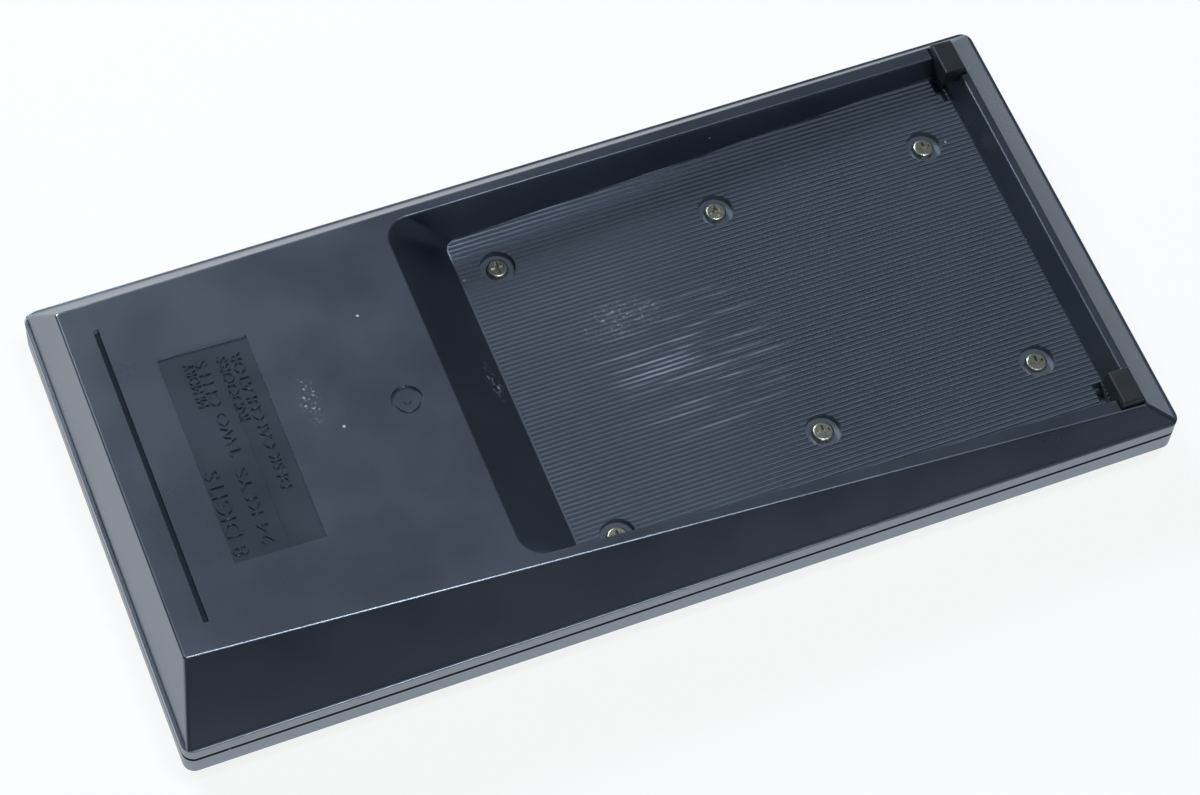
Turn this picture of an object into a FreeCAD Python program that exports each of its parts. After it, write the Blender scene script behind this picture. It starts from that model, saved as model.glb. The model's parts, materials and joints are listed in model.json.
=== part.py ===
import FreeCAD, Part
import math
import os
import re

import Sketcher

# A battery desk calculator that lies face down: +Z points out of its back and the thick end is at -X.
# The front rim rests on Z = 0, the origin is under the middle of the case, and lengths are in millimetres.
# A position is measured from the thick end, and a draft is the inset for each millimetre of rise.

sizes = {
    # Case outline and walls
    "case_length": 172.0,
    "case_width": 84.3,
    "corner_radius": 2.0,
    "inner_radius": 0.8,
    "wall": 2.0,
    "back_wall": 1.7,
    "edge_round": 0.45,
    "slope_corner": 0.6,
    "flange_ledge": 0.5,
    "ledge_round": 0.2,
    # Heights of the two covers, each measured from the level before it
    "front_depth": 9.1,
    "band_depth": 3.65,
    "bevel_inset": 2.5,
    "flange_height": 3.3,
    "thick_rise": 12.95,
    "thin_rise": 3.55,
    # Draft of the sloping outer walls
    "side_draft": 0.712,
    "thick_draft": 0.247,
    "thin_draft": 1.268,
    # Parting line between the covers and the lip behind it
    "parting_gap": 0.75,
    "parting_gap_depth": 0.8,
    "lip_height": 1.5,
    "lip_thickness": 0.9,
    "lip_clearance": 0.12,
    # Ribbed recess in the back
    "floor_rise": 2.77,
    "floor_thickness": 1.9,
    "floor_start": 70.1,
    "floor_end": 163.4,
    "floor_half_start": 32.15,
    "floor_half_end": 35.8,
    "ramp_draft": 1.049,
    "recess_draft": 0.116,
    "end_draft": 0.427,
    "recess_corner": 2.2,
    "recess_corner_growth": 0.2,
    "recess_end_corner": 0.8,
    "recess_reach": 16.0,
    "rib_pitch": 0.85,
    "rib_depth": 0.3,
    # Case screws and what holds them
    "screw_start": 77.0,
    "screw_pitch": 38.9,
    "screw_half_spacing": 22.8,
    "first_screw_far": 24.7,
    "first_screw_near": 29.3,
    "well_diameter": 6.1,
    "well_depth": 1.5,
    "seat_thickness": 1.3,
    "boss_diameter": 8.4,
    "post_diameter": 4.6,
    "screw_diameter": 2.0,
    "screw_length": 5.4,
    "screw_head_diameter": 3.7,
    "screw_head_height": 1.15,
    "screw_head_round": 0.45,
    "driver_length": 2.3,
    "driver_width": 0.5,
    "driver_depth": 0.6,
    "thread_clearance": 0.02,
    "shank_clearance": 0.2,
    "blind_end": 0.4,
    # Marks moulded in the platform
    "groove_position": 8.9,
    "groove_width": 0.9,
    "groove_half_length": 27.7,
    "groove_depth": 0.6,
    "label_start": 16.3,
    "label_length": 15.0,
    "label_half_width": 19.5,
    "label_depth": 0.35,
    "gate_position": 51.8,
    "gate_diameter": 5.3,
    "gate_depth": 0.45,
    "gate_disc_diameter": 4.1,
    "gate_disc_height": 0.25,
    "gate_nub_diameter": 1.3,
    "gate_nub_height": 0.4,
    # Rubber feet at the thin end
    "foot_start": 162.35,
    "foot_length": 3.9,
    "foot_inner": 31.8,
    "foot_width": 6.4,
    "foot_rise": 1.6,
    "foot_sink": 1.9,
    "foot_clearance": 0.25,
    "foot_end_gap": 0.4,
    "foot_round": 0.4,
    "pit_length": 2.1,
    "pit_overlap": 1.6,
    "pit_depth": 2.0,
    "pit_edge": 0.4,
    "pit_floor": 0.6,
    "pit_wall": 0.8,
    # Front face: rim, key panel and display
    "rim_width": 2.0,
    "panel_sink": 2.6,
    "panel_thickness": 1.8,
    "zone_start": 56.0,
    "zone_radius": 1.5,
    "trim_thickness": 0.5,
    "trim_clearance": 0.25,
    "window_start": 8.5,
    "window_length": 42.0,
    "window_half_width": 36.0,
    "window_thickness": 1.2,
    "window_sink": 0.3,
    "window_clearance": 0.1,
    "window_radius": 1.2,
    "display_ledge": 0.9,
    "opening_start": 13.0,
    "opening_length": 22.0,
    "opening_half_width": 30.0,
    "bay_start": 4.4,
    "bay_end": 48.0,
    "bay_half_width": 38.5,
    # Liquid-crystal display, its connectors and its board
    "glass_thickness": 1.1,
    "glass_margin": 3.0,
    "glass_side_margin": 2.5,
    "contact_ledge": 3.0,
    "strip_width": 1.8,
    "strip_half_length": 29.0,
    "strip_height": 1.9,
    "board_thickness": 1.0,
    "display_board_start": 8.0,
    "display_board_end": 43.0,
    "display_board_half_width": 34.2,
    "ribbon_half_width": 10.0,
    "ribbon_thickness": 0.3,
    "ribbon_overlap": 2.6,
    # Keyboard
    "key_rows_offset": 1.5,
    "key_length": 9.5,
    "key_width": 11.0,
    "key_radius": 1.2,
    "key_taper": 0.55,
    "key_recess": 0.6,
    "key_round": 0.4,
    "key_clearance": 0.25,
    "key_shoulder": 0.2,
    "tab_length": 5.0,
    "tab_reach": 0.9,
    "tab_thickness": 1.0,
    "rest_gap": 0.05,
    "mat_thickness": 0.7,
    "mat_half_width": 36.6,
    "mat_margin": 7.0,
    "dome_height": 1.6,
    "dome_base_diameter": 6.6,
    "dome_tip_diameter": 3.6,
    "dome_wall": 0.5,
    # Key board and what is soldered to it
    "board_start": 46.0,
    "board_end_gap": 4.0,
    "board_half_width": 38.2,
    "board_hole_clearance": 0.35,
    "ledge_inner": 37.3,
    "ledge_margin": 3.0,
    "chip_position": 54.5,
    "chip_size": 10.0,
    "chip_height": 2.0,
    "capacitor_position": 53.0,
    "capacitor_across": 20.0,
    "capacitor_diameter": 5.0,
    "capacitor_height": 5.5,
    "resistor_position": 65.4,
    "resistor_first": 10.0,
    "resistor_pitch": 5.0,
    "resistor_diameter": 1.8,
    "resistor_length": 3.8,
    # Power switch
    "switch_position": 79.0,
    "switch_across": 12.0,
    "switch_travel": 5.0,
    "knob_length": 3.2,
    "knob_width": 4.6,
    "knob_recess": 0.9,
    "knob_flange": 1.6,
    "knob_round": 0.4,
    "slot_clearance": 0.2,
    "switch_body_length": 6.4,
    "switch_body_width": 14.0,
    # Cells, tray and contacts
    "cell_diameter": 14.5,
    "cell_length": 50.5,
    "nub_diameter": 5.4,
    "nub_length": 1.0,
    "cell_round": 0.7,
    "cell_position": 13.4,
    "cell_pitch": 15.4,
    "cell_gap": 0.1,
    "tray_floor": 0.8,
    "tray_wall": 1.1,
    "tray_end_height": 9.0,
    "tray_side_height": 3.6,
    "spring_reach": 2.0,
    "spring_base_diameter": 8.0,
    "spring_tip_diameter": 3.4,
    "contact_thickness": 0.4,
    "contact_half_width": 5.6,
    "contact_height": 10.6,
    "leg_half_width": 1.2,
    "leg_clearance": 0.1,
    "ear_half_length": 3.2,
    "ear_inset": 2.9,
    "ear_across": 36.5,
    "ear_edge": 1.9,
    "tray_post_diameter": 3.4,
    "tray_screw_diameter": 1.4,
    "tray_screw_length": 3.4,
    "tray_screw_head_diameter": 2.8,
    "tray_screw_head_height": 0.8,
    # How far a cutting shape runs past what it cuts
    "cut_margin": 20.0,
    "cut_overlap": 0.5,
}

doc = FreeCAD.newDocument("DeskCalculator")
sheet = doc.addObject("Spreadsheet::Sheet", "Sizes")
for row, (alias, number) in enumerate(sizes.items(), start=1):
    sheet.set(f"A{row}", alias)
    sheet.set(f"B{row}", str(number))
    sheet.setAlias(f"B{row}", alias)
doc.recompute()

nodes = {}


# Expressions


def named(text):
    return re.sub(r"[a-z_]+", lambda word: "Sizes." + word[0] if word[0] in sizes else word[0], text)


def value(text):
    return float(sheet.evalExpression(named(text)))


def bind(item, prop, text):
    item.setExpression(prop, named(text))


def from_thick_end(text):
    return f"(-case_length / 2 + {text})"


row_count = 5
column_count = 5
tall_rows = 2
rows_per_screw = 3
columns_per_screw = 3
resistor_count = 4
closeness = 0.0001

half_length = "(case_length / 2)"
half_width = "(case_width / 2)"
flange_top = "(front_depth + flange_height)"
back_start = "(front_depth + flange_height + thick_rise)"
back_tilt = "atan((thick_rise - thin_rise) / case_length)"
band_bottom = "(front_depth - band_depth)"
floor_top = "(front_depth + floor_rise)"
floor_bottom = "(front_depth + floor_rise - floor_thickness)"
screw_seat = "(front_depth + floor_rise - well_depth)"
boss_bottom = "(front_depth + floor_rise - well_depth - seat_thickness)"
cavity_inset = "(wall + lip_clearance + lip_thickness)"
panel_inner = "(panel_sink + panel_thickness)"
zone_end = "(case_length - bevel_inset - rim_width)"
zone_half_width = "(case_width / 2 - bevel_inset - rim_width)"
window_ledge = "(window_sink + window_thickness)"
bay_floor = "(window_sink + window_thickness + display_ledge)"
glass_ledge = "(window_sink + window_thickness + display_ledge + glass_thickness)"
display_board_bottom = f"({glass_ledge} + strip_height)"
display_board_top = f"({display_board_bottom} + board_thickness)"
tray_top = f"({display_board_top} + tray_floor)"
cell_axis = f"({tray_top} + cell_gap + cell_diameter / 2)"
cell_reach = "((cell_length + spring_reach) / 2)"
tray_half_width = f"({cell_reach} + contact_thickness + tray_wall)"
tray_start = "(cell_position - cell_diameter / 2 - cell_gap - tray_wall)"
tray_end = "(cell_position + cell_pitch + cell_diameter / 2 + cell_gap + tray_wall)"
tab_bottom = f"({panel_inner} + rest_gap)"
tab_top = f"({tab_bottom} + tab_thickness)"
mat_bottom = f"({tab_top} + rest_gap + dome_height)"
board_bottom = f"({mat_bottom} + mat_thickness)"
board_top = f"({board_bottom} + board_thickness)"
board_end = "(case_length - board_end_gap)"
row_pitch = f"(screw_pitch / {rows_per_screw})"
column_pitch = f"(screw_half_spacing * 2 / {columns_per_screw})"
# Each screw's place, from the thick end and across, with the three of the far side first
far_screws = [(f"(screw_start + {step} * screw_pitch)", "screw_half_spacing") for step in range(3)]
near_screws = [(along, "-screw_half_spacing") for along, across in far_screws]
far_screws[0] = (far_screws[0][0], "first_screw_far")
near_screws[0] = (near_screws[0][0], "-first_screw_near")
screw_places = far_screws + near_screws
tray_screw_places = [
    (f"({along})", f"({side}ear_across)")
    for along in ("cell_position - ear_inset", "cell_position + cell_pitch + ear_inset")
    for side in ("", "-")
]


# Shapes


def place(item, x, y, z):
    bind(item, "Placement.Base.x", x)
    bind(item, "Placement.Base.y", y)
    bind(item, "Placement.Base.z", z)


def box(name, low, size):
    item = doc.addObject("Part::Box", name)
    for prop, text in zip(("Length", "Width", "Height"), size):
        bind(item, prop, text)
    place(item, *low)
    return item


def box_between(name, low, high):
    return box(name, low, [f"({top}) - ({bottom})" for bottom, top in zip(low, high)])


def cylinder(name, foot, diameter, height):
    item = doc.addObject("Part::Cylinder", name)
    bind(item, "Radius", f"({diameter}) / 2")
    bind(item, "Height", height)
    place(item, *foot)
    return item


def cone(name, foot, low_diameter, high_diameter, height):
    item = doc.addObject("Part::Cone", name)
    bind(item, "Radius1", f"({low_diameter}) / 2")
    bind(item, "Radius2", f"({high_diameter}) / 2")
    bind(item, "Height", height)
    place(item, *foot)
    return item


def turn(item, axis, angle):
    item.Placement = FreeCAD.Placement(item.Placement.Base, FreeCAD.Rotation(FreeCAD.Vector(*axis), 1))
    bind(item, "Placement.Rotation.Angle", angle)


def on_back(item, along, across, above):
    # Seats a shape on the sloping back, with its own X running down the slope
    turn(item, (0, 1, 0), back_tilt)
    place(
        item,
        f"-{half_length} + ({along}) * cos({back_tilt}) + ({above}) * sin({back_tilt})",
        across,
        f"{back_start} - ({along}) * sin({back_tilt}) + ({above}) * cos({back_tilt})",
    )
    return item


def outline(name, height, corners, radii):
    # A closed outline through the given corners, in counter-clockwise order, each with its own rounding
    sketch = doc.addObject("Sketcher::SketchObject", name)
    bind(sketch, "Placement.Base.z", height)
    points = [FreeCAD.Vector(value(x), value(y), 0) for x, y in corners]
    count = len(points)
    starts = []
    ends = []
    arcs = []
    for index, here in enumerate(points):
        back = (points[index - 1] - here).normalize()
        ahead = (points[(index + 1) % count] - here).normalize()
        half_angle = back.getAngle(ahead) / 2
        radius = value(radii[index])
        reach = radius / math.tan(half_angle)
        centre = here + (back + ahead).normalize() * (radius / math.sin(half_angle))
        ends.append(here + back * reach)
        starts.append(here + ahead * reach)
        first = math.atan2(ends[-1].y - centre.y, ends[-1].x - centre.x)
        turn_angle = math.pi - 2 * half_angle
        circle = Part.Circle(centre, FreeCAD.Vector(0, 0, 1), radius)
        arcs.append(Part.ArcOfCircle(circle, first, first + turn_angle))
    lines = [Part.LineSegment(starts[i], ends[(i + 1) % count]) for i in range(count)]
    line_ids = sketch.addGeometry(lines, False)
    arc_ids = sketch.addGeometry(arcs, False)
    point_ids = sketch.addGeometry([Part.Point(point) for point in points], True)
    for i in range(count):
        before = line_ids[i - 1]
        sketch.addConstraint(Sketcher.Constraint("Tangent", arc_ids[i], 1, before, 2))
        sketch.addConstraint(Sketcher.Constraint("Tangent", arc_ids[i], 2, line_ids[i], 1))
        sketch.addConstraint(Sketcher.Constraint("PointOnObject", point_ids[i], 1, before))
        sketch.addConstraint(Sketcher.Constraint("PointOnObject", point_ids[i], 1, line_ids[i]))
        sizes_here = [
            (Sketcher.Constraint("DistanceX", -1, 1, point_ids[i], 1, points[i].x), corners[i][0]),
            (Sketcher.Constraint("DistanceY", -1, 1, point_ids[i], 1, points[i].y), corners[i][1]),
            (Sketcher.Constraint("Radius", arc_ids[i], value(radii[i])), radii[i]),
        ]
        for constraint, text in sizes_here:
            number = sketch.addConstraint(constraint)
            bind(sketch, f"Constraints[{number}]", text)
    return sketch


def rectangle(name, height, low, high, radius):
    corners = [(low[0], low[1]), (high[0], low[1]), (high[0], high[1]), (low[0], high[1])]
    return outline(name, height, corners, [radius] * len(corners))


def case_outline(name, height, inset, radius):
    low = (f"-({half_length} - ({inset}))", f"-({half_width} - ({inset}))")
    high = (f"{half_length} - ({inset})", f"{half_width} - ({inset})")
    return rectangle(name, height, low, high, radius)


def prism(name, sketch, height):
    item = doc.addObject("Part::Extrusion", name)
    item.Base = sketch
    item.DirMode = "Custom"
    item.Dir = FreeCAD.Vector(0, 0, 1)
    item.Solid = True
    bind(item, "LengthFwd", height)
    return item


def loft(name, sections):
    item = doc.addObject("Part::Loft", name)
    item.Sections = sections
    item.Solid = True
    item.Ruled = True
    return item


def fuse(name, pieces):
    item = doc.addObject("Part::MultiFuse", name)
    item.Shapes = pieces
    item.Refine = True
    return item


def group(name, pieces):
    item = doc.addObject("Part::Compound", name)
    item.Links = pieces
    return item


def cut(name, base, tools):
    item = doc.addObject("Part::Cut", name)
    item.Base = base
    item.Tool = tools[0] if len(tools) == 1 else group(name + "_tools", tools)
    item.Refine = True
    return item


def common(name, base, tool):
    item = doc.addObject("Part::Common", name)
    item.Base = base
    item.Tool = tool
    return item


def rounded(name, base, radius, wanted):
    # Rounds each edge of the base that the test wants
    doc.recompute()
    item = doc.addObject("Part::Fillet", name)
    item.Base = base
    size = value(radius)
    item.Edges = [(n, size, size) for n, edge in enumerate(base.Shape.Edges, start=1) if wanted(edge)]
    return item


def edges_at_height(text):
    height = value(text)
    return lambda edge: all(abs(vertex.Z - height) < closeness for vertex in edge.Vertexes)


def node(name, item):
    item.Label = name
    nodes[name] = item
    return item


# Rear cover


def rising_outline(name, rise, inset, radius):
    # The outline of the sloping walls at a given rise above the flange
    low = (
        f"-({half_length} - ({inset}) - thick_draft * ({rise}))",
        f"-({half_width} - ({inset}) - side_draft * ({rise}))",
    )
    high = (
        f"{half_length} - ({inset}) - thin_draft * ({rise})",
        f"{half_width} - ({inset}) - side_draft * ({rise})",
    )
    return rectangle(name, f"{flange_top} + ({rise})", low, high, radius)


def above_back(name, depth):
    # Everything more than a given depth under the back's plane stays, and the rest is this block
    size = ("case_length + 2 * cut_margin", "case_width", "thick_rise + cut_margin")
    block = box(name, ("0", "0", "0"), size)
    return on_back(block, "-cut_margin", f"-{half_width}", f"-({depth})")


def recess_section(name, rise, grow):
    start = f"(floor_start - ramp_draft * ({rise}) - ({grow}))"
    end = f"(floor_end + end_draft * ({rise}) + ({grow}))"
    splay = "((floor_half_end - floor_half_start) / (floor_end - floor_start))"

    def half(position):
        widening = f"{splay} * ({position} - floor_start) + recess_draft * ({rise})"
        return f"(floor_half_start + {widening} + ({grow}))"

    corners = [
        (from_thick_end(start), f"-{half(start)}"),
        (from_thick_end(end), f"-{half(end)}"),
        (from_thick_end(end), half(end)),
        (from_thick_end(start), half(start)),
    ]
    corner = f"recess_corner + recess_corner_growth * ({rise}) + ({grow})"
    end_corner = f"recess_end_corner + ({grow})"
    return outline(name, f"{floor_top} + ({rise})", corners, [corner, end_corner, end_corner, corner])


def rib_grooves():
    # Furrows along the recess floor, which leave its fine ribs standing between them
    depth = value("rib_depth")
    pitch = value("rib_pitch")
    start = value(from_thick_end("floor_start"))
    length = value("floor_end - floor_start")
    surface = value(floor_top)
    widest = value("floor_half_end")
    furrows = []
    for step in range(-int(widest / pitch), int(widest / pitch) + 1):
        middle = step * pitch
        profile = [
            FreeCAD.Vector(start, middle - depth, surface),
            FreeCAD.Vector(start, middle, surface - depth),
            FreeCAD.Vector(start, middle + depth, surface),
        ]
        face = Part.Face(Part.makePolygon(profile + profile[:1]))
        furrows.append(face.extrude(FreeCAD.Vector(length, 0, 0)))
    item = doc.addObject("Part::Feature", "rib_furrows")
    item.Shape = Part.makeCompound(furrows)
    bounds = prism("rib_bounds", recess_section("rib_outline", "-rib_depth", "0"), "rib_depth")
    return common("rib_grooves", item, bounds)


def foot_block(name, side, clearance, end_gap, low, high):
    # One foot, or its pocket when a clearance is given, on the far side (1) or the near side (-1)
    long = f"foot_length + ({clearance}) + ({end_gap})"
    wide = f"foot_width + 2 * ({clearance})"
    block = box(name, ("0", "0", "0"), (long, wide, f"({high}) - ({low})"))
    across = f"foot_inner - ({clearance})"
    if side < 0:
        across = f"-(foot_inner + foot_width + ({clearance}))"
    return on_back(block, f"foot_start - ({clearance})", across, low)


def foot_pit(name, side, wall, bottom, top):
    # The pit in the floor beside a foot, or the pan around it when a wall is given
    inner = f"foot_inner - pit_overlap - ({wall})"
    outer = f"floor_half_end - pit_edge + ({wall})"
    low, high = (inner, outer) if side > 0 else (f"-({outer})", f"-({inner})")
    return box_between(
        name,
        (from_thick_end(f"floor_end - pit_length - ({wall})"), low, bottom),
        (from_thick_end(f"floor_end - pit_edge + ({wall})"), high, top),
    )


def platform_marks():
    # The groove, the bare label panel and the well of the gate mark, all square to the sloping back
    groove = box("groove", ("0", "0", "0"),
                 ("groove_width", "2 * groove_half_length", "groove_depth + cut_overlap"))
    on_back(groove, "groove_position - groove_width / 2", "-groove_half_length", "-groove_depth")
    label = box("label", ("0", "0", "0"),
                ("label_length", "2 * label_half_width", "label_depth + cut_overlap"))
    on_back(label, "label_start", "-label_half_width", "-label_depth")
    well = cylinder("gate_well", ("0", "0", "0"), "gate_diameter", "gate_depth + cut_overlap")
    on_back(well, "gate_position", "0", "-gate_depth")
    return [groove, label, well]


def gate_mark():
    sink = "gate_depth + cut_overlap"
    disc = cylinder("gate_disc", ("0", "0", "0"), "gate_disc_diameter", "gate_disc_height + cut_overlap")
    on_back(disc, "gate_position", "0", f"-({sink})")
    nub = cylinder("gate_nub", ("0", "0", "0"), "gate_nub_diameter", "gate_nub_height + cut_overlap")
    on_back(nub, "gate_position", "0", f"-({sink})")
    return [disc, nub]


def rear_outside():
    # The outer form with the recess sunk into it and the edges of the sloping back rounded
    rebate = prism("rear_rebate", case_outline("rear_rebate_outline", "front_depth", "parting_gap_depth",
                                               "corner_radius"), "parting_gap + cut_overlap")
    band = prism("rear_band", case_outline("rear_band_outline", "front_depth + parting_gap", "0",
                                           "corner_radius"), "flange_height - parting_gap")
    flange = rounded("rear_flange", band, "ledge_round", edges_at_height(flange_top))
    slope_foot = rising_outline("rear_slope_low", "0", "flange_ledge", "slope_corner")
    slope_top = rising_outline("rear_slope_high", "thick_rise", "flange_ledge", "slope_corner")
    wedge = cut("rear_wedge", loft("rear_slopes", [slope_foot, slope_top]), [above_back("above_back", "0")])
    recess = loft("recess", [recess_section("recess_low", "0", "0"),
                             recess_section("recess_high", "recess_reach", "0")])
    carved = cut("rear_carved", fuse("rear_block", [rebate, flange, wedge]), [recess])
    tilt = math.radians(value(back_tilt))
    back = FreeCAD.Vector(math.sin(tilt), 0, math.cos(tilt))
    start = FreeCAD.Vector(-value(half_length), 0, value(back_start))

    def on_back_plane(edge):
        return all(abs((vertex.Point - start).dot(back)) < closeness for vertex in edge.Vertexes)

    return rounded("rear_outside", carved, "edge_round", on_back_plane)


def rear_inside():
    # The space under the back, less the walls and the floor of the recess
    low = prism("rear_low_inside", case_outline("rear_inside_outline", "front_depth - cut_overlap", "wall",
                                                "inner_radius"), "flange_height + cut_overlap")
    inset = "wall + flange_ledge"
    high = loft("rear_high_inside", [rising_outline("rear_inside_low", "0", inset, "inner_radius"),
                                     rising_outline("rear_inside_high", "thick_rise", inset, "inner_radius")])
    under_back = cut("rear_under_back", high, [above_back("above_inside", "back_wall")])
    recess_walls = loft("recess_walls", [recess_section("recess_wall_low", "-floor_thickness", "wall"),
                                         recess_section("recess_wall_high", "recess_reach", "wall")])
    return cut("rear_inside", fuse("rear_space", [low, under_back]), [recess_walls])


def rear_cover():
    tray = cut("rear_tray", rear_outside(), [rear_inside()])
    bosses = []
    wells = []
    for number, (along, across) in enumerate(screw_places, start=1):
        x = from_thick_end(along)
        bosses.append(cylinder(f"boss_{number}", (x, across, boss_bottom), "boss_diameter",
                               f"{floor_bottom} + cut_overlap - {boss_bottom}"))
        well = cylinder(f"well_{number}", (x, across, screw_seat), "well_diameter",
                        "well_depth + cut_overlap")
        shank = cylinder(f"shank_hole_{number}", (x, across, f"{boss_bottom} - cut_overlap"),
                         "screw_diameter + 2 * shank_clearance", "seat_thickness + 2 * cut_overlap")
        wells.append(fuse(f"screw_hole_{number}", [well, shank]))
    pockets = []
    pans = []
    pits = []
    for side, sign in (("far", 1), ("near", -1)):
        pockets.append(foot_block(f"foot_pocket_{side}", sign, "foot_clearance", "foot_end_gap", "-foot_sink",
                                  "foot_rise"))
        pans.append(foot_pit(f"foot_pan_{side}", sign, "pit_wall", f"{floor_top} - pit_depth - pit_floor",
                             f"{floor_bottom} + cut_overlap"))
        pits.append(foot_pit(f"foot_pit_{side}", sign, "0", f"{floor_top} - pit_depth",
                             f"{floor_top} + cut_overlap"))
    bossed = fuse("rear_bossed", [tray] + bosses + pans)
    bored = cut("rear_bored", bossed, wells)
    pocketed = cut("rear_pocketed", bored, pockets + pits)
    ribbed = cut("rear_ribbed", pocketed, [rib_grooves()])
    marked = cut("rear_marked", ribbed, platform_marks())
    node("rear_cover", fuse("rear_cover", [marked] + gate_mark()))


def rubber_feet():
    for side, sign in (("left", 1), ("right", -1)):
        block = foot_block(f"foot_block_{side}", sign, "0", "0", "-foot_sink", "foot_rise")
        doc.recompute()
        middle = block.Shape.CenterOfMass
        top = max(face.CenterOfMass.z for face in block.Shape.Faces)
        wanted = lambda edge: edge.CenterOfMass.z > middle.z + (top - middle.z) / 2
        node(f"rubber_foot_{side}", rounded(f"rubber_foot_{side}", block, "foot_round", wanted))


def driver_cut(name, along, across, top, length, width, depth):
    # The two crossed slots of a cross-recess head
    x = from_thick_end(along)
    first = box(f"{name}_first", (f"{x} - {length} / 2", f"{across} - {width} / 2", f"{top} - {depth}"),
                (length, width, f"{depth} + cut_overlap"))
    second = box(f"{name}_second", (f"{x} - {width} / 2", f"{across} - {length} / 2", f"{top} - {depth}"),
                 (width, length, f"{depth} + cut_overlap"))
    return fuse(name, [first, second])


def case_screws():
    screws = []
    top = f"({screw_seat} + screw_head_height)"
    for number, (along, across) in enumerate(screw_places, start=1):
        x = from_thick_end(along)
        plain = cylinder(f"head_{number}", (x, across, screw_seat), "screw_head_diameter",
                         "screw_head_height")
        head = rounded(f"head_round_{number}", plain, "screw_head_round", edges_at_height(top))
        shank = cylinder(f"shank_{number}", (x, across, f"{screw_seat} - screw_length"), "screw_diameter",
                         "screw_length")
        cross = driver_cut(f"driver_{number}", along, across, top, "driver_length", "driver_width",
                           "driver_depth")
        screws.append(cut(f"screw_{number}", fuse(f"screw_blank_{number}", [head, shank]), [cross]))
    node("case_screws", group("case_screws", screws))


# Front cover


def key_places():
    # Name, row, column and rows covered, in the reading order of the face: the columns run from +Y to -Y
    names = [
        ["root", "memory_clear", "memory_recall", "memory_plus", "divide"],
        ["percent", "seven", "eight", "nine", "multiply"],
        ["sign", "four", "five", "six", "minus"],
        ["clear", "one", "two", "three", "plus"],
        ["all_clear", "zero", "point", "equals", None],
    ]
    places = []
    for row, line in enumerate(names):
        for column, word in enumerate(line):
            if word:
                rows = tall_rows if word == "plus" else 1
                places.append((f"key_{word}", row, column, rows))
    return places


def key_centre(row, column, rows):
    along = f"(screw_start + (key_rows_offset + {row} + {(rows - 1) / 2}) * {row_pitch})"
    across = f"({(column_count - 1) / 2 - column} * {column_pitch})"
    return from_thick_end(along), across


def key_long(rows):
    return f"(key_length + {rows - 1} * {row_pitch})"


def key_openings(name, low, high):
    holes = []
    for key, row, column, rows in key_places():
        x, y = key_centre(row, column, rows)
        long = f"({key_long(rows)} / 2 + key_clearance)"
        wide = "(key_width / 2 + key_clearance)"
        sketch = rectangle(f"{name}_{key}_outline", low, (f"{x} - {long}", f"{y} - {wide}"),
                           (f"{x} + {long}", f"{y} + {wide}"), "key_radius + key_clearance")
        holes.append(prism(f"{name}_{key}", sketch, f"({high}) - ({low})"))
    x = from_thick_end("switch_position")
    long = "(knob_length / 2 + slot_clearance)"
    holes.append(box_between(
        f"{name}_switch",
        (f"{x} - {long}", "switch_across - knob_width / 2 - slot_clearance", low),
        (f"{x} + {long}", "switch_across + knob_width / 2 + switch_travel + slot_clearance", high),
    ))
    return holes


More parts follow.
